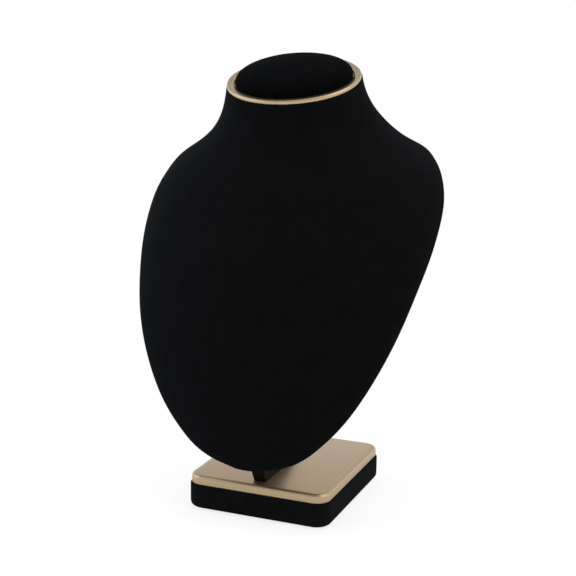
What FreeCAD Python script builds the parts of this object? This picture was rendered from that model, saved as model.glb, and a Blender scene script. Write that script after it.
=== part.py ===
import FreeCAD, Part
import math
import os

# Velvet necklace bust on a rounded base, in millimetres.
# +Z is up, -Y is the front, X = 0 is the plane of symmetry.
# The origin is the middle of the underside, on the surface that the stand rests on.

V = FreeCAD.Vector

# Base
BASE_WIDTH = 100.6
BASE_DEPTH = 113.0
BASE_CORNER = 10.6
FELT_THICKNESS = 1.0
FELT_MARGIN = 5.0
BLOCK_HEIGHT = 16.5
BLOCK_BOTTOM_ROUND = 3.4
BLOCK_TOP_ROUND = 1.0
PLATE_THICKNESS = 6.5
PLATE_INSET = 0.8
PLATE_TOP_ROUND = 2.4
PLATE_BOTTOM_ROUND = 0.6

# Bust, seen from the front
BUST_WIDTH = 205.0
CHEST_HEIGHT = 194.0
TIP_CLEARANCE = 15.0

# Bust, seen from the side: the rim sweeps back on a cubic curve from the tip
TIP_FRONT_Y = -68.6
RIM_SLOPE = 0.049
RIM_SWEEP = 0.382
RIM_CURL = 0.0866
RIM_THICKNESS = 10.0

# Hollow of the bust and the panel that closes it
WALL = 4.0
RIM_BORDER = 12.0
HOLLOW_LOW_SHARE = 0.06
HOLLOW_HIGH_SHARE = 0.93
HOLLOW_TAPER = 6
PANEL_THICKNESS = 3.5
PANEL_LEDGE = 4.0
PANEL_CLEARANCE = 0.15
PANEL_END_CROWN = 1.5
STRIP_REACH = 1.1

# Neck
NECK_HEIGHT = 50.3
NECK_CENTRE_Y = 2.8
NECK_TILT = 20.7
NECK_HALF_WIDTH = 44.6
NECK_HALF_DEPTH = 37.1
NECK_FULLNESS = 0.5

# Ring and pad on the neck
RING_HALF_WIDTH = 45.1
RING_HALF_DEPTH = 38.9
RING_BAND = 4.4
RING_HEIGHT = 3.0
RING_SHOULDER_SHARE = 0.4
RING_FLANGE = 3.0
RING_FLANGE_THICKNESS = 0.8
PAD_CLEARANCE = 0.2
PAD_HEIGHT = 11.0
PAD_FULLNESS = 3.8
PAD_ROUNDNESS = 1.65
SPIGOT_INSET = 9.0
SPIGOT_DEPTH = 12.0
SPIGOT_CLEARANCE = 0.15

# Stem
STEM_THICKNESS = 9.0
STEM_FOOT_FRONT_Y = -48.3
STEM_FOOT_BACK_Y = 10.0
STEM_LEAN = 30.0
STEM_TIP_RISE = 12.0
STEM_REACH = 92.0
STEM_TOP_WIDTH = 14.0
STEM_WAIST_WIDTH = 26.0
STEM_WAIST_SHARE = 0.4
STEM_TOE = 6.0
STEM_SEAT_LOW = 19.2
STEM_EDGE_ROUND = 2.0

# Screws
SCREW_SHANK = 2.0
SCREW_HEAD = 4.0
SCREW_HEAD_HEIGHT = 2.4
SCREW_SLOT_WIDTH = 1.2
SCREW_SLOT_LENGTH = 5.2
SCREW_SLOT_DEPTH = 1.2
FOOT_SCREW_BITE = 14.0
FOOT_SCREW_SINK = 4.0
FOOT_SCREW_FRONT_Y = -40.0
FOOT_SCREW_BACK_Y = -22.0
PANEL_SCREW_LENGTH = 13.0
PANEL_SCREW_LOW = 34.0
PANEL_SCREW_HIGH = 62.0

# Points along the curves
SECTION_STEPS = 16
STRIP_STEPS = 12
DOME_STEPS = 12
SEAT_STEPS = 6

BLOCK_TOP = FELT_THICKNESS + BLOCK_HEIGHT
PLATE_TOP = BLOCK_TOP + PLATE_THICKNESS
TIP_Z = PLATE_TOP + TIP_CLEARANCE
SHOULDER_Z = TIP_Z + CHEST_HEIGHT
NECK_Z = SHOULDER_Z + NECK_HEIGHT

# Chest sections: share of the chest's height, share of the bust's half width, bulge in front
# of the rim as a share of that half width, share of the rim's thickness, front fullness,
# back squareness
CHEST = (
    (0.000, 0.087, 0.020, 0.50, 0.50, 3.0),
    (0.016, 0.200, 0.035, 0.60, 0.52, 3.5),
    (0.052, 0.352, 0.060, 0.73, 0.56, 4.5),
    (0.103, 0.465, 0.098, 0.85, 0.62, 5.5),
    (0.175, 0.586, 0.142, 0.94, 0.68, 7.0),
    (0.268, 0.700, 0.200, 1.00, 0.72, 8.0),
    (0.371, 0.797, 0.254, 1.00, 0.72, 8.0),
    (0.485, 0.879, 0.316, 1.00, 0.72, 8.0),
    (0.598, 0.937, 0.392, 1.00, 0.72, 8.0),
    (0.711, 0.981, 0.480, 1.00, 0.70, 8.0),
    (0.804, 0.996, 0.541, 1.00, 0.66, 7.0),
    (0.876, 0.987, 0.598, 1.00, 0.62, 6.0),
    (0.943, 0.944, 0.659, 0.98, 0.58, 4.8),
    (1.000, 0.871, 0.712, 0.88, 0.55, 3.6),
)

# Neck sections: share of the way from the shoulders to the ring, then as shares of the neck's
# half width: width beyond it, widest place behind the neck's centre, front and back beyond
# the neck's depth; then back squareness
NECK = (
    (0.17, 0.747, 0.879, 0.081, 0.135, 3.0),
    (0.33, 0.469, 0.648, 0.043, 0.135, 2.6),
    (0.51, 0.271, 0.446, 0.018, 0.108, 2.3),
    (0.75, 0.114, 0.213, 0.004, 0.054, 2.0),
    (0.98, 0.031, 0.074, 0.000, 0.018, 2.0),
    (1.16, 0.000, 0.031, 0.000, 0.004, 2.0),
    (1.30, 0.000, 0.000, 0.000, 0.000, 2.0),
    (1.45, 0.000, 0.000, 0.000, 0.000, 2.0),
)


def rounded_slab(width, depth, corner, low, high):
    """A flat slab with round corners, centred on the origin."""
    slab = Part.makeBox(width, depth, high - low, V(-width / 2, -depth / 2, low))
    upright = [e for e in slab.Edges if abs(e.BoundBox.ZLength - (high - low)) < 1e-6]
    return slab.makeFillet(corner, upright)


def edges_at(shape, height):
    """The edges that lie flat at one height."""
    flat = []
    for edge in shape.Edges:
        box = edge.BoundBox
        if abs(box.ZMin - height) < 1e-6 and abs(box.ZMax - height) < 1e-6:
            flat.append(edge)
    return flat


def rim_y(height):
    """Where the rim lies from front to back, at a height above the tip."""
    share = height / CHEST_HEIGHT
    return TIP_FRONT_Y + CHEST_HEIGHT * (RIM_SLOPE * share + RIM_SWEEP * share ** 2 + RIM_CURL * share ** 3)


def rim_slope(height):
    """How steeply the rim goes back at a height above the tip."""
    share = height / CHEST_HEIGHT
    return RIM_SLOPE + 2 * RIM_SWEEP * share + 3 * RIM_CURL * share ** 2


def back_y(height):
    """The back face of the chest at its centre line, at a height above the tip."""
    return rim_y(height) + RIM_THICKNESS


def section(z, half_width, widest_y, front, back, fullness, squareness):
    """A closed level section: a full curve in front, a squarer one behind."""
    front_points = []
    back_points = []
    for step in range(SECTION_STEPS + 1):
        angle = math.pi * (step / SECTION_STEPS - 0.5)
        across = math.sin(angle)
        inward = max(math.cos(angle), 0.0)
        front_points.append(V(half_width * across, widest_y - front * inward ** (2 * fullness), z))
        share = 2.0 / squareness
        side = math.copysign(abs(across) ** share, across)
        back_points.append(V(half_width * side, widest_y + back * inward ** share, z))
    back_points.reverse()
    back_points[0] = front_points[-1]
    back_points[-1] = front_points[0]
    front_curve = Part.BSplineCurve()
    front_curve.interpolate(front_points)
    back_curve = Part.BSplineCurve()
    back_curve.interpolate(back_points)
    return Part.Wire([front_curve.toShape(), back_curve.toShape()])


def bust_form():
    """The outside of the bust, from the tip to above the slanted top of the neck."""
    wires = []
    for share, width_share, bulge_share, thickness, fullness, squareness in CHEST:
        height = CHEST_HEIGHT * share
        half_width = BUST_WIDTH / 2 * width_share
        bulge = BUST_WIDTH / 2 * bulge_share
        back = RIM_THICKNESS * thickness
        place = (TIP_Z + height, half_width, rim_y(height))
        wires.append(section(*place, bulge, back, fullness, squareness))
    for share, *shares, squareness in NECK:
        extra, behind, extra_front, extra_back = [NECK_HALF_WIDTH * s for s in shares]
        place = (SHOULDER_Z + NECK_HEIGHT * share, NECK_HALF_WIDTH + extra, NECK_CENTRE_Y + behind)
        front = NECK_HALF_DEPTH + extra_front + behind
        back = NECK_HALF_DEPTH + extra_back - behind
        wires.append(section(*place, front, back, NECK_FULLNESS, squareness))
    return Part.makeLoft(wires, True, False)


def on_neck(shape):
    """Move a shape from its own level frame onto the slanted top of the neck."""
    seated = shape.copy()
    seated.rotate(V(0, 0, 0), V(1, 0, 0), NECK_TILT)
    seated.translate(V(0, NECK_CENTRE_Y, NECK_Z))
    return seated


def oval(half_width, half_depth, height):
    """A level oval outline."""
    curve = Part.Ellipse(V(0, 0, height), half_width, half_depth)
    return Part.Wire([curve.toShape()])


def oval_prism(half_width, half_depth, low, high):
    """An upright oval block."""
    return Part.Face(oval(half_width, half_depth, low)).extrude(V(0, 0, high - low))


def hollow_stations():
    """Half width of the hollow at each chest section, rounded off towards both ends."""
    low = HOLLOW_LOW_SHARE
    high = HOLLOW_HIGH_SHARE
    stations = []
    for share, width_share, bulge_share, *_ in CHEST:
        if not low < share < high:
            continue
        along = 2.0 * (share - low) / (high - low) - 1.0
        taper = math.sqrt(1.0 - along ** HOLLOW_TAPER)
        half_width = (BUST_WIDTH / 2 * width_share - RIM_BORDER) * taper
        stations.append((CHEST_HEIGHT * share, half_width, BUST_WIDTH / 2 * bulge_share))
    return stations


def hollow_form():
    """The space inside the bust, open towards the panel."""
    wires = []
    for height, half_width, bulge in hollow_stations():
        floor_y = back_y(height) - PANEL_THICKNESS / 2
        depth = floor_y - (rim_y(height) - bulge + WALL)
        z = TIP_Z + height
        points = []
        for step in range(SECTION_STEPS + 1):
            angle = math.pi * (step / SECTION_STEPS - 0.5)
            inward = max(math.cos(angle), 0.0)
            points.append(V(half_width * math.sin(angle), floor_y - depth * inward, z))
        curve = Part.BSplineCurve()
        curve.interpolate(points)
        wires.append(Part.Wire([curve.toShape(), Part.makeLine(points[-1], points[0])]))
    return Part.makeLoft(wires, True, False)


def panel_outline(grow):
    """The panel's outline seen from the front, as a prism through the bust."""
    stations = hollow_stations()
    reach = PANEL_LEDGE + grow
    sides = [(half_width + reach, TIP_Z + height) for height, half_width, _ in stations]
    bottom = (0.0, sides[0][1] - reach - PANEL_END_CROWN)
    top = (0.0, sides[-1][1] + reach + PANEL_END_CROWN)
    left = [(-x, z) for x, z in reversed(sides)]
    y = -BUST_WIDTH
    points = [V(x, y, z) for x, z in [bottom] + sides + [top] + left]
    curve = Part.BSplineCurve()
    curve.interpolate(points, PeriodicFlag=True)
    return Part.Face(Part.Wire([curve.toShape()])).extrude(V(0, 2 * BUST_WIDTH, 0))


def back_strip(front_gap, back_gap):
    """A bent sheet that follows the back of the chest, between two distances from its face."""
    front_points = []
    back_points = []
    for step in range(STRIP_STEPS + 1):
        height = CHEST_HEIGHT * STRIP_REACH * step / STRIP_STEPS
        z = TIP_Z + height
        front_points.append(V(-BUST_WIDTH, back_y(height) + front_gap, z))
        back_points.append(V(-BUST_WIDTH, back_y(height) + back_gap, z))
    front_curve = Part.BSplineCurve()
    front_curve.interpolate(front_points)
    back_curve = Part.BSplineCurve()
    back_curve.interpolate(back_points)
    ends = [Part.makeLine(front_points[0], back_points[0]), Part.makeLine(front_points[-1], back_points[-1])]
    outline = Part.Wire(Part.__sortEdges__([front_curve.toShape(), back_curve.toShape()] + ends))
    return Part.Face(outline).extrude(V(2 * BUST_WIDTH, 0, 0))


def back_panel():
    """The bent board that closes the back of the bust."""
    board = back_strip(-PANEL_THICKNESS, 0.0).common(panel_outline(0.0))
    for screw in panel_screws():
        board = board.cut(screw)
    return board


def bust_shell():
    """The moulded bust with its hollow, the seat for the panel and the socket in the neck."""
    shell = bust_form()
    above = Part.makeBox(4 * NECK_HALF_WIDTH, 4 * NECK_HALF_WIDTH, NECK_HEIGHT)
    above.translate(V(-2 * NECK_HALF_WIDTH, -2 * NECK_HALF_WIDTH, 0))
    shell = shell.cut(on_neck(above))
    shell = shell.cut(hollow_form())
    recess = back_strip(-PANEL_THICKNESS, RIM_THICKNESS).common(panel_outline(PANEL_CLEARANCE))
    shell = shell.cut(recess)
    half_width = RING_HALF_WIDTH - SPIGOT_INSET + SPIGOT_CLEARANCE
    half_depth = RING_HALF_DEPTH - SPIGOT_INSET + SPIGOT_CLEARANCE
    socket = oval_prism(half_width, half_depth, -SPIGOT_DEPTH - SPIGOT_CLEARANCE, 1.0)
    return shell.cut(on_neck(socket))


def neck_ring():
    """The metal ring: a round-shouldered band with a thin flange that the pad holds down."""
    path = oval(RING_HALF_WIDTH, RING_HALF_DEPTH, 0.0)
    outer = RING_HALF_WIDTH
    inner = outer - RING_BAND
    lip = inner - RING_FLANGE
    flange = RING_FLANGE_THICKNESS
    crown = RING_HEIGHT
    shoulder = RING_HEIGHT * RING_SHOULDER_SHARE
    a = V(outer, 0, 0)
    b = V(outer, 0, shoulder)
    c = V((outer + inner) / 2, 0, crown)
    d = V(inner, 0, shoulder)
    e = V(inner, 0, flange)
    f = V(lip, 0, flange)
    g = V(lip, 0, 0)
    edges = [
        Part.makeLine(a, b),
        Part.Arc(b, c, d).toShape(),
        Part.makeLine(d, e),
        Part.makeLine(e, f),
        Part.makeLine(f, g),
        Part.makeLine(g, a),
    ]
    ring = path.makePipeShell([Part.Wire(edges)], True, False)
    return on_neck(ring)


def neck_pad():
    """The domed pad inside the ring, with the spigot that holds it in the neck."""
    half_width = RING_HALF_WIDTH - RING_BAND - PAD_CLEARANCE
    half_depth = RING_HALF_DEPTH - RING_BAND - PAD_CLEARANCE
    dome = pad_dome(half_width)
    squash = FreeCAD.Matrix()
    squash.scale(1.0, half_depth / half_width, 1.0)
    body = dome.transformGeometry(squash)
    under_width = half_width - RING_FLANGE - PAD_CLEARANCE
    under_depth = half_depth - RING_FLANGE - PAD_CLEARANCE
    body = body.fuse(oval_prism(under_width, under_depth, 0.0, RING_FLANGE_THICKNESS))
    spigot_width = RING_HALF_WIDTH - SPIGOT_INSET
    spigot_depth = RING_HALF_DEPTH - SPIGOT_INSET
    body = body.fuse(oval_prism(spigot_width, spigot_depth, -SPIGOT_DEPTH, 0.0))
    return on_neck(body.removeSplitter())


def pad_dome(radius):
    """The pad's upper part as a round dome: steep at the edge, nearly flat on top."""
    height = PAD_HEIGHT - RING_FLANGE_THICKNESS
    points = []
    for step in range(DOME_STEPS + 1):
        angle = math.pi / 2 * step / DOME_STEPS
        rise = math.sin(angle) ** (2 / PAD_FULLNESS) if step else 0.0
        reach = max(1.0 - rise ** PAD_FULLNESS, 0.0) ** (1 / PAD_ROUNDNESS)
        points.append(V(radius * reach, 0, RING_FLANGE_THICKNESS + height * rise))
    curve = Part.BSplineCurve()
    curve.interpolate(points)
    centre = V(0, 0, RING_FLANGE_THICKNESS)
    edges = [
        Part.makeLine(centre, points[0]),
        curve.toShape(),
        Part.makeLine(points[-1], centre),
    ]
    return Part.Face(Part.Wire(edges)).revolve(V(0, 0, 0), V(0, 0, 1), 360)


def screw_form(length):
    """A countersunk screw along +Z: its head's face at zero, its point at the given length."""
    profile = Part.makePolygon([
        V(0, 0, 0),
        V(SCREW_HEAD, 0, 0),
        V(SCREW_SHANK, 0, SCREW_HEAD_HEIGHT),
        V(SCREW_SHANK, 0, length - SCREW_SHANK),
        V(0, 0, length),
        V(0, 0, 0),
    ])
    return Part.Face(profile).revolve(V(0, 0, 0), V(0, 0, 1), 360)


def slotted(screw):
    """Cut the cross recess into a screw's head."""
    for length, width in ((SCREW_SLOT_LENGTH, SCREW_SLOT_WIDTH), (SCREW_SLOT_WIDTH, SCREW_SLOT_LENGTH)):
        slot = Part.makeBox(length, width, SCREW_SLOT_DEPTH, V(-length / 2, -width / 2, 0))
        screw = screw.cut(slot)
    return screw


def foot_screws(cross=False):
    """The screws that hold the stem, upwards through the block and the plate."""
    start = FELT_THICKNESS + FOOT_SCREW_SINK
    length = PLATE_TOP + FOOT_SCREW_BITE - start
    screws = []
    for y in (FOOT_SCREW_FRONT_Y, FOOT_SCREW_BACK_Y):
        screw = screw_form(length)
        if cross:
            screw = slotted(screw)
        screw.translate(V(0, y, start))
        screws.append(screw)
    return screws


def panel_screws(cross=False):
    """The screws that hold the bust, from inside through the panel into the stem."""
    screws = []
    for height in (PANEL_SCREW_LOW, PANEL_SCREW_HIGH):
        slope = rim_slope(height)
        lean = math.degrees(math.atan(slope))
        screw = screw_form(PANEL_SCREW_LENGTH)
        if cross:
            screw = slotted(screw)
        screw.rotate(V(0, 0, 0), V(1, 0, 0), -90 - lean)
        inside = PANEL_THICKNESS / math.sqrt(1 + slope ** 2)
        direction = V(0, math.cos(math.radians(lean)), -math.sin(math.radians(lean)))
        face = V(0, back_y(height), TIP_Z + height)
        screw.translate(face - direction * inside)
        screws.append(screw)
    return screws


def stem(shell, panel):
    """The upright fin between the plate and the back of the bust."""
    foot_front = V(0, STEM_FOOT_FRONT_Y, PLATE_TOP)
    foot_back = V(0, STEM_FOOT_BACK_Y, PLATE_TOP)
    toe = V(0, STEM_FOOT_BACK_Y, PLATE_TOP + STEM_TOE)
    lean = math.tan(math.radians(STEM_LEAN))
    rise = TIP_CLEARANCE + STEM_TIP_RISE
    front_top = V(0, STEM_FOOT_FRONT_Y - lean * rise, PLATE_TOP + rise)
    seat_low = STEM_SEAT_LOW
    seat_high = STEM_REACH - TIP_CLEARANCE
    seat_points = []
    for step in range(SEAT_STEPS + 1):
        height = seat_low + (seat_high - seat_low) * step / SEAT_STEPS
        seat_points.append(V(0, back_y(height) - PANEL_THICKNESS / 2, TIP_Z + height))
    seat_curve = Part.BSplineCurve()
    seat_curve.interpolate(seat_points)
    top_z = TIP_Z + seat_high
    top_back = V(0, back_y(seat_high) + STEM_TOP_WIDTH, top_z)
    waist_z = PLATE_TOP + STEM_REACH * STEM_WAIST_SHARE
    waist = V(0, back_y(waist_z - TIP_Z) + STEM_WAIST_WIDTH, waist_z)
    edges = [
        Part.makeLine(foot_front, front_top),
        Part.makeLine(front_top, seat_points[0]),
        seat_curve.toShape(),
        Part.makeLine(seat_points[-1], top_back),
        Part.Arc(top_back, waist, toe).toShape(),
        Part.makeLine(toe, foot_back),
        Part.makeLine(foot_back, foot_front),
    ]
    face = Part.Face(Part.Wire(edges))
    fin = face.extrude(V(STEM_THICKNESS, 0, 0))
    fin.translate(V(-STEM_THICKNESS / 2, 0, 0))
    long_edges = [e for e in fin.Edges if e.BoundBox.XLength < 1e-6 and is_stem_flank(e, front_top, toe)]
    fin = fin.makeFillet(STEM_EDGE_ROUND, long_edges)
    fin = fin.cut(shell).cut(panel)
    for screw in foot_screws() + panel_screws():
        fin = fin.cut(screw)
    return fin


def is_stem_flank(edge, front_top, toe):
    """Whether an edge runs along the leaning front or the hollow back of the stem."""
    ends = [v.Point for v in edge.Vertexes]
    near_front = [abs(p.y - front_top.y) + abs(p.z - front_top.z) < 1e-6 for p in ends]
    near_toe = [abs(p.y - toe.y) + abs(p.z - toe.z) < 1e-6 for p in ends]
    lowest = min(p.z for p in ends)
    highest = max(p.z for p in ends)
    leaning_front = any(near_front) and lowest < PLATE_TOP + 1e-6
    hollow_back = any(near_toe) and highest > toe.z + 1e-6
    return leaning_front or hollow_back


def base_felt():
    """The thin sheet under the block."""
    width = BASE_WIDTH - 2 * FELT_MARGIN
    depth = BASE_DEPTH - 2 * FELT_MARGIN
    return rounded_slab(width, depth, BASE_CORNER - FELT_MARGIN / 2, 0.0, FELT_THICKNESS)


def base_block():
    """The covered block, with the holes for the screws from below."""
    block = rounded_slab(BASE_WIDTH, BASE_DEPTH, BASE_CORNER, FELT_THICKNESS, BLOCK_TOP)
    block = block.makeFillet(BLOCK_BOTTOM_ROUND, edges_at(block, FELT_THICKNESS))
    block = block.makeFillet(BLOCK_TOP_ROUND, edges_at(block, BLOCK_TOP))
    for screw in foot_screws():
        block = block.cut(screw)
    for y in (FOOT_SCREW_FRONT_Y, FOOT_SCREW_BACK_Y):
        block = block.cut(Part.makeCylinder(SCREW_HEAD, FOOT_SCREW_SINK, V(0, y, FELT_THICKNESS)))
    return block


def base_plate():
    """The metal plate on the block, with a round top edge."""
    width = BASE_WIDTH - 2 * PLATE_INSET
    depth = BASE_DEPTH - 2 * PLATE_INSET
    plate = rounded_slab(width, depth, BASE_CORNER - PLATE_INSET, BLOCK_TOP, PLATE_TOP)
    plate = plate.makeFillet(PLATE_TOP_ROUND, edges_at(plate, PLATE_TOP))
    plate = plate.makeFillet(PLATE_BOTTOM_ROUND, edges_at(plate, BLOCK_TOP))
    for screw in foot_screws():
        plate = plate.cut(screw)
    return plate


def main():
    shell = bust_shell()
    panel = back_panel()
    nodes = {
        "bust_shell": shell,
        "back_panel": panel,
        "neck_ring": neck_ring(),
        "neck_pad": neck_pad(),
        "stem": stem(shell, panel),
        "base_plate": base_plate(),
        "base_block": base_block(),
        "base_felt": base_felt(),
        "stem_screws": Part.makeCompound(foot_screws(True)),
        "panel_screws": Part.makeCompound(panel_screws(True)),
    }
    os.makedirs("parts", exist_ok=True)
    for name, shape in nodes.items():
        box = shape.BoundBox
        print(name, "valid", shape.isValid(), "solids", len(shape.Solids), "faces", len(shape.Faces),
              "cm3", round(shape.Volume / 1000, 2), "y", round(box.YMin, 1), round(box.YMax, 1),
              "z", round(box.ZMin, 1), round(box.ZMax, 1), "x", round(box.XMax, 1))
        shape.exportStep("parts/" + name + ".step")


main()
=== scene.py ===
import math

import bpy
from mathutils import Matrix, Vector


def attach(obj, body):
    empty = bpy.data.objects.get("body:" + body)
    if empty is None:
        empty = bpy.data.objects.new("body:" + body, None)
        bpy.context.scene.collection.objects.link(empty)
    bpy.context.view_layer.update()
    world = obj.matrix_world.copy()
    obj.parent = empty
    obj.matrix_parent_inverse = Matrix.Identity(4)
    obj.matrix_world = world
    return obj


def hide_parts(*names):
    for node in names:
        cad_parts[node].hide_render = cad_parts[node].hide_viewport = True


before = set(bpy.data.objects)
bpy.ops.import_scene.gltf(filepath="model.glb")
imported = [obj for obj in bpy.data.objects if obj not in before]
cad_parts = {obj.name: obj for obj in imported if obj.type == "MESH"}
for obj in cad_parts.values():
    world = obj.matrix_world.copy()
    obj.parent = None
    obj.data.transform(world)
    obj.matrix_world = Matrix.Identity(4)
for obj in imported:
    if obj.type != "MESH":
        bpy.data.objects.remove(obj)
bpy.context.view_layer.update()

bl_info = {
    "name": "Necklace display bust",
    "version": (1, 0, 0),
    "blender": (4, 5, 0),
    "location": "3D View > Sidebar > Display Bust",
    "description": "Dresses a velvet necklace bust on its gold-topped base and sets up its studio",
    "category": "Object",
}

MM = 0.001
TOLERANCE = 0.01 * MM
WHITE = (1.0, 1.0, 1.0, 1.0)
BLACK = (0.0, 0.0, 0.0, 1.0)

# The part of a noise texture's range that a finish uses
NOISE_SPAN = (0.3, 0.7)
NARROW_SPAN = (0.35, 0.65)


# Sizes and colours that a user would change

class NeckSettings(bpy.types.PropertyGroup):
    """Place and slant of the neck's top, which carries the ring and the pad."""
    tilt: bpy.props.FloatProperty(
        name="Tilt", description="Slant of the neck's top towards the front",
        default=math.radians(20.7), subtype="ANGLE")
    centre_y: bpy.props.FloatProperty(
        name="Centre depth", description="Place of the ring's centre from front to back",
        default=2.8 * MM, unit="LENGTH")
    centre_z: bpy.props.FloatProperty(
        name="Centre height", description="Height of the ring's centre",
        default=283.3 * MM, unit="LENGTH")


class RingSettings(bpy.types.PropertyGroup):
    """Sizes of the metal ring on the neck."""
    half_width: bpy.props.FloatProperty(
        name="Half width", description="Half width of the ring outside",
        default=45.1 * MM, unit="LENGTH")
    half_depth: bpy.props.FloatProperty(
        name="Half depth", description="Half depth of the ring outside",
        default=38.9 * MM, unit="LENGTH")
    band: bpy.props.FloatProperty(
        name="Band", description="Width of the ring's visible top band",
        default=5.0 * MM, unit="LENGTH")
    height: bpy.props.FloatProperty(
        name="Height", description="Height of the ring",
        default=2.3 * MM, unit="LENGTH")
    side: bpy.props.FloatProperty(
        name="Side", description="Height of the upright outer side below the round shoulder",
        default=1.4 * MM, unit="LENGTH")
    shoulder: bpy.props.FloatProperty(
        name="Shoulder", description="Width of the round outer shoulder",
        default=0.9 * MM, unit="LENGTH")
    dish: bpy.props.FloatProperty(
        name="Dish", description="Fall of the flat band towards the pad",
        default=0.3 * MM, unit="LENGTH")
    inner_round: bpy.props.FloatProperty(
        name="Inner edge", description="Width of the broken inner edge",
        default=0.3 * MM, unit="LENGTH")
    flange: bpy.props.FloatProperty(
        name="Flange", description="Width of the flange under the pad",
        default=3.0 * MM, unit="LENGTH")
    flange_thickness: bpy.props.FloatProperty(
        name="Flange thickness", description="Thickness of the flange under the pad",
        default=0.8 * MM, unit="LENGTH")


class PadSettings(bpy.types.PropertyGroup):
    """Sizes of the domed pad in the ring."""
    gap: bpy.props.FloatProperty(
        name="Gap", description="Room between the pad and the ring's band",
        default=0.25 * MM, unit="LENGTH")
    height: bpy.props.FloatProperty(
        name="Height", description="Height of the dome above the neck's top",
        default=12.5 * MM, unit="LENGTH")
    lean: bpy.props.FloatProperty(
        name="Lean", description="How far the dome leans to the back, as a share of its height",
        default=0.3)
    fullness: bpy.props.FloatProperty(
        name="Fullness", description="How flat the dome's top is", default=3.4)
    roundness: bpy.props.FloatProperty(
        name="Roundness", description="How wide the dome's shoulder is", default=1.5)
    swell: bpy.props.FloatProperty(
        name="Swell", description="Most that the filling pushes the velvet outwards on top",
        default=0.7 * MM, unit="LENGTH")
    side_swell: bpy.props.FloatProperty(
        name="Side swell", description="Most that the filling pushes the velvet against the ring",
        default=0.15 * MM, unit="LENGTH")
    spigot_inset: bpy.props.FloatProperty(
        name="Spigot inset", description="From the ring's outside to the plug in the neck",
        default=9.0 * MM, unit="LENGTH")
    spigot_depth: bpy.props.FloatProperty(
        name="Spigot depth", description="Length of the plug that holds the pad in the neck",
        default=12.0 * MM, unit="LENGTH")


class PlateSettings(bpy.types.PropertyGroup):
    """Sizes of the metal plate on the base."""
    width: bpy.props.FloatProperty(
        name="Width", description="Width of the plate",
        default=99.0 * MM, unit="LENGTH")
    depth: bpy.props.FloatProperty(
        name="Depth", description="Depth of the plate",
        default=111.4 * MM, unit="LENGTH")
    underside: bpy.props.FloatProperty(
        name="Underside", description="Height of the plate's underside",
        default=17.5 * MM, unit="LENGTH")
    thickness: bpy.props.FloatProperty(
        name="Thickness", description="Thickness of the plate",
        default=6.5 * MM, unit="LENGTH")
    corner: bpy.props.FloatProperty(
        name="Corner", description="Radius of the plate's upright corners",
        default=9.8 * MM, unit="LENGTH")
    top_round: bpy.props.FloatProperty(
        name="Top edge", description="Radius of the plate's upper edge",
        default=2.3 * MM, unit="LENGTH")
    lower_round: bpy.props.FloatProperty(
        name="Lower edge", description="Radius of the plate's lower edge",
        default=0.7 * MM, unit="LENGTH")


class CoverSettings(bpy.types.PropertyGroup):
    """How the velvet follows the base block under it."""
    grid: bpy.props.FloatProperty(
        name="Grid", description="Spacing of the cover's mesh",
        default=1.0 * MM, unit="LENGTH")
    pile: bpy.props.FloatProperty(
        name="Pile", description="Height of the velvet's pile",
        default=0.2 * MM, unit="LENGTH")
    softening: bpy.props.IntProperty(
        name="Softening", description="Rounds of smoothing that soften the cover's edges",
        default=2, min=0)


class FinishSettings(bpy.types.PropertyGroup):
    """Colours of the stand's finishes."""
    velvet_deep: bpy.props.FloatVectorProperty(
        name="Velvet, deep", description="Black velvet where the pile stands away from the eye",
        size=3, subtype="COLOR", default=(0.0020, 0.0020, 0.0021))
    velvet_pale: bpy.props.FloatVectorProperty(
        name="Velvet, pale", description="Black velvet where the pile leans over",
        size=3, subtype="COLOR", default=(0.0054, 0.0054, 0.0058))
    gold: bpy.props.FloatVectorProperty(
        name="Champagne gold", description="Satin gold of the ring and the base plate",
        size=3, subtype="COLOR", default=(0.56, 0.41, 0.245))
    lacquer: bpy.props.FloatVectorProperty(
        name="Black lacquer", description="Satin black of the stem",
        size=3, subtype="COLOR", default=(0.0062, 0.0052, 0.0036))
    felt: bpy.props.FloatVectorProperty(
        name="Felt", description="Black felt under the base",
        size=3, subtype="COLOR", default=(0.010, 0.010, 0.011))
    zinc: bpy.props.FloatVectorProperty(
        name="Zinc", description="Zinc-plated steel of the screws",
        size=3, subtype="COLOR", default=(0.42, 0.43, 0.45))


class StageSettings(bpy.types.PropertyGroup):
    """Camera, lamps and floor."""
    azimuth: bpy.props.FloatProperty(
        name="View azimuth", description="How far the camera stands round to the right",
        default=math.radians(22.008), subtype="ANGLE")
    elevation: bpy.props.FloatProperty(
        name="View elevation", description="How far the camera looks down",
        default=math.radians(11.883), subtype="ANGLE")
    roll: bpy.props.FloatProperty(
        name="View roll", description="Turn of the camera about its own line of sight",
        default=math.radians(0.801), subtype="ANGLE")
    distance: bpy.props.FloatProperty(
        name="View distance", description="From the camera to the point that it looks at",
        default=0.8412, unit="LENGTH")
    aim: bpy.props.FloatVectorProperty(
        name="Aim", description="Point that the camera looks at",
        size=3, subtype="TRANSLATION", default=(-0.01184, 0.02680, 0.13915))
    lens: bpy.props.FloatProperty(
        name="Lens", description="Focal length in millimetres on a sensor 36 mm wide",
        default=75.0)
    floor_size: bpy.props.FloatProperty(
        name="Floor size", description="Side of the pale floor",
        default=8.0, unit="LENGTH")


# Shared helpers

def deselect_all():
    """Leave nothing selected, so that an operator acts on one piece alone."""
    if bpy.context.object and bpy.context.object.mode != "OBJECT":
        bpy.ops.object.mode_set(mode="OBJECT")
    bpy.ops.object.select_all(action="DESELECT")


def pick(piece):
    """Select one piece and make it the active one."""
    deselect_all()
    piece.select_set(True)
    bpy.context.view_layer.objects.active = piece


def edit(piece, mode="FACE"):
    """Enter edit mode on one piece with all of it deselected."""
    pick(piece)
    bpy.ops.object.mode_set(mode="EDIT")
    bpy.ops.mesh.select_mode(type=mode)
    bpy.ops.mesh.select_all(action="DESELECT")


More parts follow.
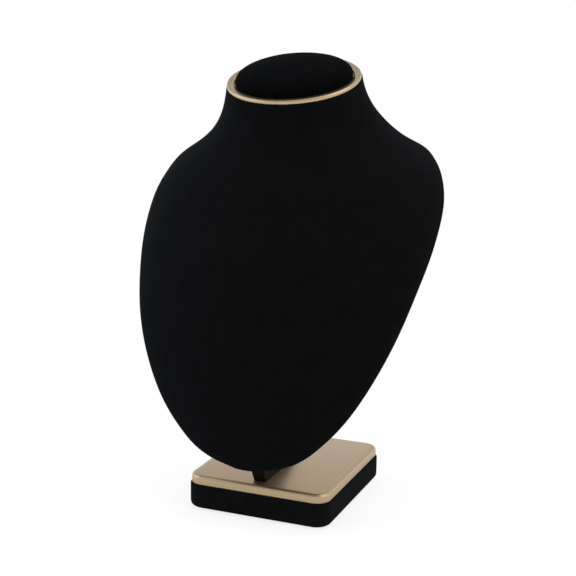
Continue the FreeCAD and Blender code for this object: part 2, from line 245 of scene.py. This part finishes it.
def choose_faces(piece, test):
    """In edit mode, select the faces whose centre and normal pass the test."""
    bpy.ops.object.mode_set(mode="OBJECT")
    for face in piece.data.polygons:
        face.select = test(face.center, face.normal)
    bpy.ops.object.mode_set(mode="EDIT")


def choose_edges(piece, test):
    """In edit mode, select the edges whose two end points pass the test."""
    bpy.ops.mesh.select_mode(type="EDGE")
    bpy.ops.mesh.select_all(action="DESELECT")
    bpy.ops.object.mode_set(mode="OBJECT")
    points = piece.data.vertices
    for line in piece.data.edges:
        line.select = test(points[line.vertices[0]].co, points[line.vertices[1]].co)
    bpy.ops.object.mode_set(mode="EDIT")


def lies_level(normal):
    """Whether a face with this normal lies level."""
    return abs(normal.z) > 0.9


def settle(piece, name, material):
    """Apply a piece's place, name and finish it, and let it ride on the stand."""
    pick(piece)
    bpy.ops.object.transform_apply(location=True, rotation=True, scale=True)
    piece.name = name
    piece.data.name = name
    piece.data.materials.clear()
    piece.data.materials.append(material)
    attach(piece, "root")


def seat_on_neck(piece, neck):
    """Put a piece that was made level onto the slanted top of the neck."""
    piece.rotation_euler = (neck.tilt, 0.0, 0.0)
    piece.location = (0.0, neck.centre_y, neck.centre_z)


def apply_modifiers(piece):
    """Apply a piece's modifiers in their order."""
    pick(piece)
    for modifier in list(piece.modifiers):
        bpy.ops.object.modifier_apply(modifier=modifier.name)


def dress(node, material):
    """Give a node of the frame its finish."""
    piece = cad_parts[node]
    for place in piece.material_slots:
        place.material = material


# Node helpers

def put(tree, kind, **settings):
    """Add a shader node and set its properties."""
    node = tree.nodes.new(kind)
    for key, value in settings.items():
        setattr(node, key, value)
    return node


def give(tree, socket, value):
    """Link an input to another node's output, or set its plain value."""
    if isinstance(value, bpy.types.NodeSocket):
        tree.links.new(value, socket)
    else:
        socket.default_value = value


def feed(tree, node, **values):
    """Set or link a node's inputs by name, with underscores for spaces."""
    for key, value in values.items():
        give(tree, node.inputs[key.replace("_", " ")], value)


def calculate(tree, operation, first, second):
    """A Math node's result."""
    node = put(tree, "ShaderNodeMath", operation=operation)
    for socket, value in zip(node.inputs, (first, second)):
        give(tree, socket, value)
    return node.outputs[0]


def blend_colours(tree, factor, first, second):
    """A colour between two, by a factor that changes over the surface."""
    node = put(tree, "ShaderNodeMix", data_type="RGBA")
    tree.links.new(factor, node.inputs["Factor"])
    colour_sockets = node.inputs[6:8]
    for socket, value in zip(colour_sockets, (first, second)):
        give(tree, socket, value)
    mixed_colour = 2
    return node.outputs[mixed_colour]


def remap(tree, value, low, high, new_low, new_high):
    """A value moved from one range to another, held inside the new one."""
    node = put(tree, "ShaderNodeMapRange", clamp=True)
    feed(tree, node, Value=value, From_Min=low, From_Max=high, To_Min=new_low, To_Max=new_high)
    return node.outputs[0]


def noise(tree, position, scale, detail, roughness):
    """Noise of a given scale in cycles per metre."""
    node = put(tree, "ShaderNodeTexNoise")
    feed(tree, node, Vector=position, Scale=scale, Detail=detail, Roughness=roughness)
    return node.outputs["Fac"]


def drawn_out(tree, position, squeeze):
    """A position squeezed along Z, which draws a pattern out upright."""
    node = put(tree, "ShaderNodeMapping", vector_type="POINT")
    feed(tree, node, Vector=position, Scale=(1.0, 1.0, squeeze))
    return node.outputs[0]


def start_group(name, inputs, outputs):
    """A shader node group with named sockets, its input node's outputs and its output node."""
    tree = bpy.data.node_groups.new(name, "ShaderNodeTree")
    for label, kind, value in inputs:
        socket = tree.interface.new_socket(name=label, in_out="INPUT", socket_type=kind)
        if value is not None:
            socket.default_value = value
    for label, kind in outputs:
        tree.interface.new_socket(name=label, in_out="OUTPUT", socket_type=kind)
    return tree, put(tree, "NodeGroupInput").outputs, put(tree, "NodeGroupOutput")


def pile_group():
    """Velvet pile: tufts, brushed patches where the pile leans, and streaks down the nap."""
    found = bpy.data.node_groups.get("Velvet Pile")
    if found:
        return found
    inputs = (
        ("Position", "NodeSocketVector", None),
        ("Deep", "NodeSocketColor", (0.003, 0.003, 0.003, 1.0)),
        ("Pale", "NodeSocketColor", (0.007, 0.007, 0.007, 1.0)),
        ("Tuft Scale", "NodeSocketFloat", 1800.0),
        ("Patch Scale", "NodeSocketFloat", 40.0),
        ("Contrast", "NodeSocketFloat", 1.0),
    )
    outputs = (("Colour", "NodeSocketColor"), ("Height", "NodeSocketFloat"))
    tree, given, result = start_group("Velvet Pile", inputs, outputs)
    position = given["Position"]
    tufts = noise(tree, position, given["Tuft Scale"], detail=3.0, roughness=0.65)
    patches = noise(tree, position, given["Patch Scale"], detail=3.0, roughness=0.55)
    along_nap = drawn_out(tree, position, squeeze=0.22)
    streaks = noise(tree, along_nap, 210.0, detail=2.0, roughness=0.6)
    patch_part, streak_part, tuft_part = 0.14, 0.10, 0.45
    lean = calculate(tree, "ADD", remap(tree, patches, *NARROW_SPAN, -patch_part, patch_part),
                     remap(tree, streaks, *NARROW_SPAN, -streak_part, streak_part))
    speck = remap(tree, tufts, *NOISE_SPAN, -tuft_part, tuft_part)
    mixed = calculate(tree, "MULTIPLY", calculate(tree, "ADD", lean, speck), given["Contrast"])
    factor = remap(tree, calculate(tree, "ADD", mixed, 0.5), 0.0, 1.0, 0.0, 1.0)
    colour = blend_colours(tree, factor, given["Deep"], given["Pale"])
    streak_height = 0.6
    height = calculate(tree, "ADD", tufts, calculate(tree, "MULTIPLY", streaks, streak_height))
    feed(tree, result, Colour=colour, Height=height)
    return tree


def satin_group():
    """Satin metal coat: a fine grain that varies its colour, roughness and relief."""
    found = bpy.data.node_groups.get("Satin Grain")
    if found:
        return found
    inputs = (
        ("Position", "NodeSocketVector", None),
        ("Colour", "NodeSocketColor", (0.5, 0.4, 0.3, 1.0)),
        ("Roughness", "NodeSocketFloat", 0.34),
        ("Grain Scale", "NodeSocketFloat", 2400.0),
    )
    outputs = (
        ("Colour", "NodeSocketColor"),
        ("Roughness", "NodeSocketFloat"),
        ("Height", "NodeSocketFloat"),
    )
    tree, given, result = start_group("Satin Grain", inputs, outputs)
    position = given["Position"]
    grain = noise(tree, position, given["Grain Scale"], detail=2.0, roughness=0.6)
    cloud = noise(tree, position, 30.0, detail=3.0, roughness=0.5)
    grain_light = remap(tree, grain, *NOISE_SPAN, 0.955, 1.035)
    cloud_light = remap(tree, cloud, *NOISE_SPAN, -0.02, 0.02)
    toned = put(tree, "ShaderNodeHueSaturation")
    feed(tree, toned, Color=given["Colour"],
         Value=calculate(tree, "ADD", grain_light, cloud_light))
    grain_roughness = remap(tree, grain, *NOISE_SPAN, -0.05, 0.06)
    rough = calculate(tree, "ADD", given["Roughness"], grain_roughness)
    feed(tree, result, Colour=toned.outputs[0], Roughness=rough, Height=grain)
    return tree


def start_material(name, **sockets):
    """A material with its shader's plain values set on the shader's own sockets."""
    material = bpy.data.materials.new(name)
    material.use_nodes = True
    tree = material.node_tree
    shader = tree.nodes["Principled BSDF"]
    feed(tree, shader, **sockets)
    position = put(tree, "ShaderNodeTexCoord").outputs["Object"]
    return material, tree, shader, position


def relief(tree, shader, height, strength, distance):
    """Feed a height to the shader's normal through a bump."""
    bump = put(tree, "ShaderNodeBump")
    feed(tree, bump, Height=height, Strength=strength, Distance=distance)
    feed(tree, shader, Normal=bump.outputs[0])


def shade(colour, tone_and_painted_light_lift):
    """A colour made paler or deeper by a factor, with its alpha. For grain the factor is the grain's
    own tone; for the velvet and gold pieces it is painted light and shade.
    """
    return (*(tone_and_painted_light_lift * part for part in colour), 1.0)


def velvet(name, tuft_scale, patch_scale, contrast, sheen, tone_and_painted_light_lift=1.0):
    """Black velvet: matt, with a faint sheen where the pile is seen along its side. Its lift paints
    one piece paler or deeper, painted light and shade.
    """
    finish = bpy.context.scene.bust_finish
    material, tree, shader, position = start_material(
        name, Roughness=0.95, Specular_IOR_Level=0.02, Sheen_Weight=sheen,
        Sheen_Roughness=0.5, Sheen_Tint=(0.55, 0.68, 0.85, 1.0))
    group = put(tree, "ShaderNodeGroup", node_tree=pile_group())
    feed(tree, group, Position=position, Deep=shade(finish.velvet_deep, tone_and_painted_light_lift),
         Pale=shade(finish.velvet_pale, tone_and_painted_light_lift), Tuft_Scale=tuft_scale,
         Patch_Scale=patch_scale, Contrast=contrast)
    feed(tree, shader, Base_Color=group.outputs["Colour"])
    relief(tree, shader, group.outputs["Height"], strength=0.5, distance=0.35 * MM)
    return material


def gold(name, grain_scale, roughness, tone_and_painted_light_lift):
    """Satin champagne gold under a thin clear coat. Its lift paints one piece a little deeper, a
    painted shade.
    """
    finish = bpy.context.scene.bust_finish
    material, tree, shader, position = start_material(
        name, Metallic=1.0, Coat_Weight=0.5, Coat_Roughness=0.25)
    group = put(tree, "ShaderNodeGroup", node_tree=satin_group())
    feed(tree, group, Position=position, Colour=shade(finish.gold, tone_and_painted_light_lift),
         Roughness=roughness, Grain_Scale=grain_scale)
    feed(tree, shader, Base_Color=group.outputs["Colour"], Roughness=group.outputs["Roughness"])
    relief(tree, shader, group.outputs["Height"], strength=0.12, distance=0.05 * MM)
    return material


def lacquer():
    """Satin black lacquer with a faint upright grain under it."""
    finish = bpy.context.scene.bust_finish
    material, tree, shader, position = start_material(
        "stem_lacquer", Roughness=0.5, Specular_IOR_Level=0.04)
    along_grain = drawn_out(tree, position, squeeze=0.12)
    grain = noise(tree, along_grain, 900.0, detail=3.0, roughness=0.6)
    low, high = shade(finish.lacquer, 0.7), shade(finish.lacquer, 1.3)
    feed(tree, shader, Base_Color=blend_colours(tree, grain, low, high),
         Roughness=remap(tree, grain, *NOISE_SPAN, 0.44, 0.56))
    relief(tree, shader, grain, strength=0.15, distance=0.08 * MM)
    return material


def felt():
    """Pressed felt: short matted fibres."""
    finish = bpy.context.scene.bust_finish
    material, tree, shader, position = start_material(
        "base_felt_fibres", Roughness=1.0, Specular_IOR_Level=0.05, Sheen_Weight=0.05)
    fibres = noise(tree, position, 1500.0, detail=4.0, roughness=0.7)
    low, high = shade(finish.felt, 0.5), shade(finish.felt, 1.6)
    feed(tree, shader, Base_Color=blend_colours(tree, fibres, low, high))
    relief(tree, shader, fibres, strength=0.7, distance=0.3 * MM)
    return material


def zinc():
    """Zinc-plated steel with a spangled coat."""
    finish = bpy.context.scene.bust_finish
    material, tree, shader, position = start_material("screw_zinc", Metallic=1.0)
    spangle = noise(tree, position, 900.0, detail=3.0, roughness=0.6)
    low, high = shade(finish.zinc, 0.8), shade(finish.zinc, 1.15)
    feed(tree, shader, Base_Color=blend_colours(tree, spangle, low, high),
         Roughness=remap(tree, spangle, *NOISE_SPAN, 0.24, 0.42))
    relief(tree, shader, spangle, strength=0.1, distance=0.05 * MM)
    return material


# Operators

class BUST_OT_stage(bpy.types.Operator):
    """Floor, lamps, world and camera"""
    bl_idname = "bust.stage"
    bl_label = "Stage"

    floor_drop = 0.2 * MM
    floor_paper = (0.80, 0.80, 0.80, 1.0)
    shadow_paper = (0.24, 0.24, 0.24, 1.0)
    shadow_edge = (0.15, 0.55)
    near_glow = 0.80
    # Painted shade: near the stand the floor is darkened where metal reflects it
    reflected_shade_edge = (0.10, 0.22)
    reflected_shade_part = 0.28
    ceiling_edge = (0.25, 0.75)
    ceiling_light = 0.42
    front_edge = (-0.5, 0.2)
    front_light = 0.62
    back_light = 0.95
    plain_light = 0.68
    look_at = Vector((0.0, 0.0, 0.14))
    lamps = (
        ("overhead_lamp", (0.25, 0.10, 1.30), 1.60, 5.5, (1.0, 0.99, 0.97)),
        ("left_lamp", (-1.40, -0.60, 0.95), 1.70, 11.0, (0.78, 0.87, 1.0)),
        ("right_lamp", (1.35, -0.25, 0.95), 1.35, 6.5, (1.0, 0.98, 0.95)),
    )

    def execute(self, context):
        stage = context.scene.bust_stage
        context.scene.view_settings.view_transform = "Standard"
        self.make_floor(stage)
        self.make_world(context)
        self.make_lamps()
        self.make_camera(context, stage)
        return {"FINISHED"}

    def rays(self, tree):
        """The camera's rays, and those of reflections and clear things."""
        path = put(tree, "ShaderNodeLightPath").outputs
        mirrored = calculate(tree, "MAXIMUM", path["Is Glossy Ray"], path["Is Transmission Ray"])
        return path["Is Camera Ray"], mirrored

    def make_floor(self, stage):
        """A pale floor that shows white, keeps a soft shadow and is dimmer near the stand, where a
        painted shade darkens it in reflections.
        """
        deselect_all()
        bpy.ops.mesh.primitive_plane_add(
            size=stage.floor_size, location=(0.0, 0.0, -self.floor_drop))
        floor = bpy.context.object
        floor.name = "studio_floor"
        material = bpy.data.materials.new("studio_floor_paper")
        material.use_nodes = True
        tree = material.node_tree
        tree.nodes.clear()
        place = put(tree, "ShaderNodeTexCoord").outputs["Object"]
        length = put(tree, "ShaderNodeVectorMath", operation="LENGTH")
        tree.links.new(place, length.inputs[0])
        distance = length.outputs["Value"]
        paper = put(tree, "ShaderNodeBsdfDiffuse")
        feed(tree, paper, Color=self.floor_paper)
        thin = put(tree, "ShaderNodeBsdfDiffuse")
        fade = remap(tree, distance, *self.shadow_edge, 0.0, 1.0)
        feed(tree, thin, Color=blend_colours(tree, fade, self.shadow_paper, BLACK))
        camera, mirrored = self.rays(tree)
        # Painted shade under the stand, seen only in reflections
        painted_shade_near_stand = remap(tree, distance, *self.reflected_shade_edge, self.reflected_shade_part, 0.0)
        dimmer = calculate(tree, "SUBTRACT", 1.0, calculate(tree, "MULTIPLY", mirrored, painted_shade_near_stand))
        open_glow = remap(tree, distance, *self.shadow_edge, self.near_glow, 1.0)
        glow = put(tree, "ShaderNodeEmission")
        feed(tree, glow, Color=WHITE, Strength=calculate(tree, "MULTIPLY", dimmer, open_glow))
        both = put(tree, "ShaderNodeAddShader")
        tree.links.new(thin.outputs[0], both.inputs[0])
        tree.links.new(glow.outputs[0], both.inputs[1])
        mix = put(tree, "ShaderNodeMixShader")
        feed(tree, mix, Fac=calculate(tree, "MAXIMUM", camera, mirrored))
        tree.links.new(paper.outputs[0], mix.inputs[1])
        tree.links.new(both.outputs[0], mix.inputs[2])
        end = put(tree, "ShaderNodeOutputMaterial")
        feed(tree, end, Surface=mix.outputs[0])
        floor.data.materials.append(material)

    def make_world(self, context):
        """A white world: plain to the camera, dimmer overhead and in front in reflections."""
        world = bpy.data.worlds.new("studio_world")
        context.scene.world = world
        world.use_nodes = True
        tree = world.node_tree
        shine = tree.nodes["Background"]
        way = put(tree, "ShaderNodeSeparateXYZ")
        tree.links.new(put(tree, "ShaderNodeTexCoord").outputs["Generated"], way.inputs[0])
        ceiling = remap(tree, way.outputs["Z"], *self.ceiling_edge, 1.0, self.ceiling_light)
        front = remap(tree, way.outputs["Y"], *self.front_edge, self.front_light, self.back_light)
        around = calculate(tree, "MULTIPLY", ceiling, front)
        camera, mirrored = self.rays(tree)
        direct = calculate(tree, "MAXIMUM", camera, calculate(tree, "MULTIPLY", mirrored, around))
        plain = calculate(tree, "SUBTRACT", 1.0, calculate(tree, "MAXIMUM", camera, mirrored))
        spread = calculate(tree, "MULTIPLY", plain, self.plain_light)
        strength = calculate(tree, "ADD", direct, spread)
        feed(tree, shine, Color=WHITE, Strength=strength)

    def make_lamps(self):
        """Broad square soft lamps that look at the bust: overhead, from the left, from the right."""
        for name, place, size, power, colour in self.lamps:
            deselect_all()
            bpy.ops.object.light_add(type="AREA", location=place)
            lamp = bpy.context.object
            lamp.name = name
            lamp.data.shape = "SQUARE"
            lamp.data.size = size
            lamp.data.energy = power
            lamp.data.color = colour
            look = self.look_at - Vector(place)
            lamp.rotation_euler = look.to_track_quat("-Z", "Y").to_euler()

    def make_camera(self, context, stage):
        """A camera at the viewing angle."""
        sine, cosine = math.sin(stage.azimuth), math.cos(stage.azimuth)
        rise = math.sin(stage.elevation)
        level = math.cos(stage.elevation)
        back = Vector((sine * level, -cosine * level, rise))
        deselect_all()
        bpy.ops.object.camera_add(location=Vector(stage.aim) + back * stage.distance)
        camera = bpy.context.object
        camera.name = "view_camera"
        camera.data.lens = stage.lens
        camera.data.sensor_width = 36.0
        camera.data.clip_end = 20.0
        side = Vector((cosine, sine, 0.0))
        up = back.cross(side)
        right = side * math.cos(stage.roll) + up * math.sin(stage.roll)
        top = up * math.cos(stage.roll) - side * math.sin(stage.roll)
        camera.rotation_euler = Matrix((right, top, back)).transposed().to_euler()
        context.scene.camera = camera


class BUST_OT_ring(bpy.types.Operator):
    """The flat-topped metal ring on the neck"""
    bl_idname = "bust.ring"
    bl_label = "Neck ring"

    sides = 160
    shoulder_steps = 8
    crease = math.radians(50)

    def execute(self, context):
        ring = context.scene.bust_ring
        deselect_all()
        bpy.ops.mesh.primitive_circle_add(
            vertices=self.sides, radius=ring.half_width, fill_type="NGON")
        piece = bpy.context.object
        edit(piece)
        bpy.ops.mesh.select_all(action="SELECT")
        bpy.ops.transform.resize(value=(1.0, ring.half_depth / ring.half_width, 1.0))
        bpy.ops.mesh.extrude_region_move(TRANSFORM_OT_translate={"value": (0.0, 0.0, ring.side)})
        self.shape_top(ring)
        self.open_middle(piece, ring)
        bpy.ops.object.shade_smooth_by_angle(angle=self.crease)
        seat_on_neck(piece, context.scene.bust_neck)
        # Painted shade: the ring's gold is made a little deeper than the shared gold
        finish = gold("ring_gold", grain_scale=2600.0, roughness=0.28, tone_and_painted_light_lift=0.96)
        settle(piece, "neck_ring_gold", finish)
        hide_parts("neck_ring")
        return {"FINISHED"}

    def shape_top(self, ring):
        """Inset the top along a round shoulder, the dished band and the step to the flange."""
        rise = ring.height - ring.side
        across, up = 0.0, 0.0
        for step in range(1, self.shoulder_steps + 1):
            angle = math.pi / 2 * step / self.shoulder_steps
            new_across = ring.shoulder * (1.0 - math.cos(angle))
            new_up = rise * math.sin(angle)
            bpy.ops.mesh.inset(thickness=new_across - across, depth=new_up - up)
            across, up = new_across, new_up
        flat = ring.band - ring.shoulder - ring.inner_round
        bpy.ops.mesh.inset(thickness=flat, depth=-ring.dish)
        bpy.ops.mesh.inset(thickness=ring.inner_round, depth=-ring.inner_round)
        drop = ring.height - ring.dish - ring.inner_round - ring.flange_thickness
        bpy.ops.mesh.extrude_region_move(TRANSFORM_OT_translate={"value": (0.0, 0.0, -drop)})
        bpy.ops.mesh.inset(thickness=ring.flange, depth=0.0)

    def open_middle(self, piece, ring):
        """Join the middle of the top and of the underside, so that the ring is open."""
        choose_faces(piece, lambda centre, normal: centre.z < TOLERANCE and lies_level(normal))
        bpy.ops.mesh.inset(thickness=ring.band + ring.flange, depth=0.0)
        choose_faces(piece, lambda centre, normal: centre.xy.length < MM and lies_level(normal))
        bpy.ops.mesh.bridge_edge_loops()
        bpy.ops.mesh.select_all(action="SELECT")
        bpy.ops.mesh.remove_doubles(threshold=0.1 * TOLERANCE)
        bpy.ops.mesh.normals_make_consistent(inside=False)
        bpy.ops.object.mode_set(mode="OBJECT")


class BUST_OT_pad(bpy.types.Operator):
    """The domed velvet pad in the ring"""
    bl_idname = "bust.pad"
    bl_label = "Neck pad"

    dome_steps = 12
    sides = 96
    lip = 0.2 * MM
    held_height = 0.6 * MM
    grid = 1.2 * MM
    pressure = 4.0
    frames = 20
    full_swell_height = 0.55
    crown_rise = 0.8
    point_rise = 0.2

    def execute(self, context):
        pad = context.scene.bust_pad
        ring = context.scene.bust_ring
        half_width = ring.half_width - ring.band - pad.gap - pad.side_swell
        half_depth = ring.half_depth - ring.band - pad.gap - pad.side_swell
        deselect_all()
        bpy.ops.mesh.primitive_circle_add(
            vertices=self.sides, radius=half_width, fill_type="NGON",
            location=(0.0, 0.0, ring.flange_thickness))
        piece = bpy.context.object
        bpy.ops.object.transform_apply(location=True, rotation=False, scale=False)
        self.raise_dome(piece, pad, half_width, pad.height - pad.swell - ring.flange_thickness)
        self.lower_spigot(piece, pad, ring)
        edit(piece)
        bpy.ops.mesh.select_all(action="SELECT")
        bpy.ops.transform.resize(value=(1.0, half_depth / half_width, 1.0),
                                 center_override=(0.0, 0.0, 0.0))
        bpy.ops.mesh.normals_make_consistent(inside=False)
        bpy.ops.object.mode_set(mode="OBJECT")
        self.fill(context, piece, pad, ring)
        seat_on_neck(piece, context.scene.bust_neck)
        # Painted shade: the pad's velvet is made much deeper than the bust's for the lamp light on
        # its upturned top
        finish = velvet("pad_velvet_pile", tuft_scale=850.0, patch_scale=160.0, contrast=1.6,
                        sheen=0.010, tone_and_painted_light_lift=0.42)
        settle(piece, "neck_pad_velvet", finish)
        bpy.ops.object.shade_smooth()
        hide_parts("neck_pad")
        return {"FINISHED"}

    def raise_dome(self, piece, pad, half_width, height):
        """Inset the disc again and again along a steep-sided dome that leans back."""
        edit(piece)
        bpy.ops.mesh.select_all(action="SELECT")
        bpy.ops.mesh.extrude_region_move(TRANSFORM_OT_translate={"value": (0.0, 0.0, self.lip)})
        reach, rise = half_width, 0.0
        for step in range(1, self.dome_steps):
            angle = math.pi / 2 * step / self.dome_steps
            share = math.sin(angle) ** (2 / pad.fullness)
            new_rise = height * share
            new_reach = half_width * (1.0 - share ** pad.fullness) ** (1 / pad.roundness)
            bpy.ops.mesh.inset(thickness=reach - new_reach, depth=new_rise - rise)
            shift = pad.lean * (new_rise - rise)
            bpy.ops.transform.translate(value=(0.0, shift, 0.0))
            reach, rise = new_reach, new_rise
        last_rise = height - rise
        bpy.ops.mesh.inset(thickness=reach / 2, depth=last_rise * self.crown_rise)
        bpy.ops.mesh.poke(offset=last_rise * self.point_rise)

    def lower_spigot(self, piece, pad, ring):
        """Draw the underside in and down to make the plug in the neck."""
        foot = ring.flange_thickness + TOLERANCE
        choose_faces(piece, lambda centre, normal: centre.z < foot and lies_level(normal))
        step_in = ring.flange + pad.gap
        bpy.ops.mesh.inset(thickness=step_in, depth=0.0)
        bpy.ops.mesh.extrude_region_move(
            TRANSFORM_OT_translate={"value": (0.0, 0.0, -ring.flange_thickness)})
        rest = pad.spigot_inset - ring.band - pad.gap - pad.side_swell - step_in
        bpy.ops.mesh.inset(thickness=rest, depth=0.0)
        bpy.ops.mesh.extrude_region_move(
            TRANSFORM_OT_translate={"value": (0.0, 0.0, -pad.spigot_depth)})
        bpy.ops.object.mode_set(mode="OBJECT")

    def fill(self, context, piece, pad, ring):
        """Blow the velvet up from inside as its filling does, held at its foot."""
        pick(piece)
        piece.data.remesh_voxel_size = self.grid
        bpy.ops.object.voxel_remesh()
        self.inflate(context, piece, pad, ring)
        finer = piece.modifiers.new("finer", "SUBSURF")
        finer.levels = 1
        finer.render_levels = 1
        apply_modifiers(piece)

    def inflate(self, context, piece, pad, ring):
        """Run the cloth, apply it, and hold every point within its cap."""
        held = piece.vertex_groups.new(name="held")
        foot = ring.flange_thickness + self.held_height
        held.add([v.index for v in piece.data.vertices if v.co.z < foot], 1.0, "REPLACE")
        before = [v.co.copy() for v in piece.data.vertices]
        cloth = piece.modifiers.new("filling", "CLOTH")
        cloth.settings.vertex_group_mass = "held"
        cloth.settings.use_pressure = True
        cloth.settings.uniform_pressure_force = self.pressure
        cloth.settings.effector_weights.gravity = 0.0
        cloth.point_cache.frame_start = 1
        cloth.point_cache.frame_end = self.frames
        for frame_number in range(1, self.frames + 1):
            context.scene.frame_set(frame_number)
        apply_modifiers(piece)
        context.scene.frame_set(1)
        top = pad.height * self.full_swell_height
        for vertex, start in zip(piece.data.vertices, before):
            share = min(max((start.z - ring.height) / (top - ring.height), 0.0), 1.0)
            cap = pad.side_swell + (pad.swell - pad.side_swell) * share
            move = vertex.co - start
            if move.length > cap:
                vertex.co = start + move.normalized() * cap
        piece.vertex_groups.clear()


class BUST_OT_block(bpy.types.Operator):
    """Velvet wrapped round the base block, with soft edges"""
    bl_idname = "bust.block"
    bl_label = "Block cover"

    def execute(self, context):
        cover = context.scene.bust_cover
        piece = self.merged_copy("base_block")
        piece.data.remesh_voxel_size = cover.grid
        bpy.ops.object.voxel_remesh()
        soften = piece.modifiers.new("soften", "SMOOTH")
        soften.factor = 0.5
        soften.iterations = cover.softening
        pile = piece.modifiers.new("pile", "DISPLACE")
        pile.strength = cover.pile
        pile.mid_level = 0.0
        apply_modifiers(piece)
        # Painted light: the block's velvet is made paler than the bust's for the light that its
        # sides miss
        finish = velvet("block_velvet_pile", tuft_scale=1500.0, patch_scale=90.0, contrast=0.7,
                        sheen=0.02, tone_and_painted_light_lift=1.4)
        settle(piece, "block_velvet_cover", finish)
        bpy.ops.object.shade_smooth()
        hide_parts("base_block")
        return {"FINISHED"}

    def merged_copy(self, node):
        """A copy of a node with a mesh of its own, whose doubled points are merged."""
        deselect_all()
        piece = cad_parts[node].copy()
        piece.data = piece.data.copy()
        bpy.context.collection.objects.link(piece)
        piece.parent = None
        edit(piece, "VERT")
        bpy.ops.mesh.select_all(action="SELECT")
        bpy.ops.mesh.remove_doubles(threshold=TOLERANCE)
        bpy.ops.object.mode_set(mode="OBJECT")
        return piece


class BUST_OT_plate(bpy.types.Operator):
    """The metal plate on the base, with its rounded edges"""
    bl_idname = "bust.plate"
    bl_label = "Base plate"

    corner_steps = 14
    top_steps = 6
    lower_steps = 3
    crease = math.radians(35)

    def execute(self, context):
        plate = context.scene.bust_plate
        middle = plate.underside + plate.thickness / 2
        deselect_all()
        bpy.ops.mesh.primitive_cube_add(
            size=1.0, location=(0.0, 0.0, middle),
            scale=(plate.width, plate.depth, plate.thickness))
        piece = bpy.context.object
        bpy.ops.object.transform_apply(location=True, rotation=True, scale=True)
        edit(piece, "EDGE")
        choose_edges(piece, lambda one, two: abs(one.z - two.z) > plate.thickness / 2)
        bpy.ops.mesh.bevel(offset=plate.corner, segments=self.corner_steps, affect="EDGES")
        choose_edges(piece, lambda one, two: min(one.z, two.z) > middle)
        bpy.ops.mesh.bevel(offset=plate.top_round, segments=self.top_steps, affect="EDGES")
        lowest = plate.underside + TOLERANCE
        choose_edges(piece, lambda one, two: max(one.z, two.z) < lowest)
        bpy.ops.mesh.bevel(offset=plate.lower_round, segments=self.lower_steps, affect="EDGES")
        bpy.ops.object.mode_set(mode="OBJECT")
        bpy.ops.object.shade_smooth_by_angle(angle=self.crease)
        # Painted shade: the plate's gold is made a little deeper than the shared gold
        finish = gold("plate_gold", grain_scale=2200.0, roughness=0.44, tone_and_painted_light_lift=0.94)
        settle(piece, "base_plate_gold", finish)
        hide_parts("base_plate")
        return {"FINISHED"}


class BUST_OT_finishes(bpy.types.Operator):
    """Finishes of the pieces that keep the frame's own shape"""
    bl_idname = "bust.finishes"
    bl_label = "Finishes"

    def execute(self, context):
        smooth_pile = {"tuft_scale": 1500.0, "patch_scale": 75.0, "contrast": 0.55, "sheen": 0.02}
        dress("bust_shell", velvet("bust_velvet_pile", **smooth_pile))
        dress("back_panel", velvet("panel_velvet_pile", **smooth_pile))
        dress("stem", lacquer())
        dress("base_felt", felt())
        steel = zinc()
        dress("stem_screws", steel)
        dress("panel_screws", steel)
        return {"FINISHED"}


class BUST_PT_panel(bpy.types.Panel):
    """The stand's operators and sizes"""
    bl_idname = "BUST_PT_panel"
    bl_label = "Display Bust"
    bl_space_type = "VIEW_3D"
    bl_region_type = "UI"
    bl_category = "Display Bust"

    def draw(self, context):
        column = self.layout.column(align=True)
        for operator in OPERATORS:
            column.operator(operator.bl_idname)
        for group in SETTINGS:
            box = self.layout.box()
            settings = getattr(context.scene, group)
            for name in settings.bl_rna.properties.keys():
                if name not in ("rna_type", "name"):
                    box.prop(settings, name)


OPERATORS = (BUST_OT_stage, BUST_OT_finishes, BUST_OT_block, BUST_OT_plate, BUST_OT_ring,
             BUST_OT_pad)
SETTINGS = {
    "bust_neck": NeckSettings,
    "bust_ring": RingSettings,
    "bust_pad": PadSettings,
    "bust_cover": CoverSettings,
    "bust_plate": PlateSettings,
    "bust_finish": FinishSettings,
    "bust_stage": StageSettings,
}


def register():
    for group, kind in SETTINGS.items():
        bpy.utils.register_class(kind)
        setattr(bpy.types.Scene, group, bpy.props.PointerProperty(type=kind))
    for operator in OPERATORS:
        bpy.utils.register_class(operator)
    bpy.utils.register_class(BUST_PT_panel)


def unregister():
    bpy.utils.unregister_class(BUST_PT_panel)
    for operator in reversed(OPERATORS):
        bpy.utils.unregister_class(operator)
    for group, kind in SETTINGS.items():
        delattr(bpy.types.Scene, group)
        bpy.utils.unregister_class(kind)


def main():
    """Make the stand and its studio."""
    register()
    bpy.ops.bust.stage()
    bpy.ops.bust.finishes()
    bpy.ops.bust.block()
    bpy.ops.bust.plate()
    bpy.ops.bust.ring()
    bpy.ops.bust.pad()
    deselect_all()


if __name__ == "__main__":
    main()
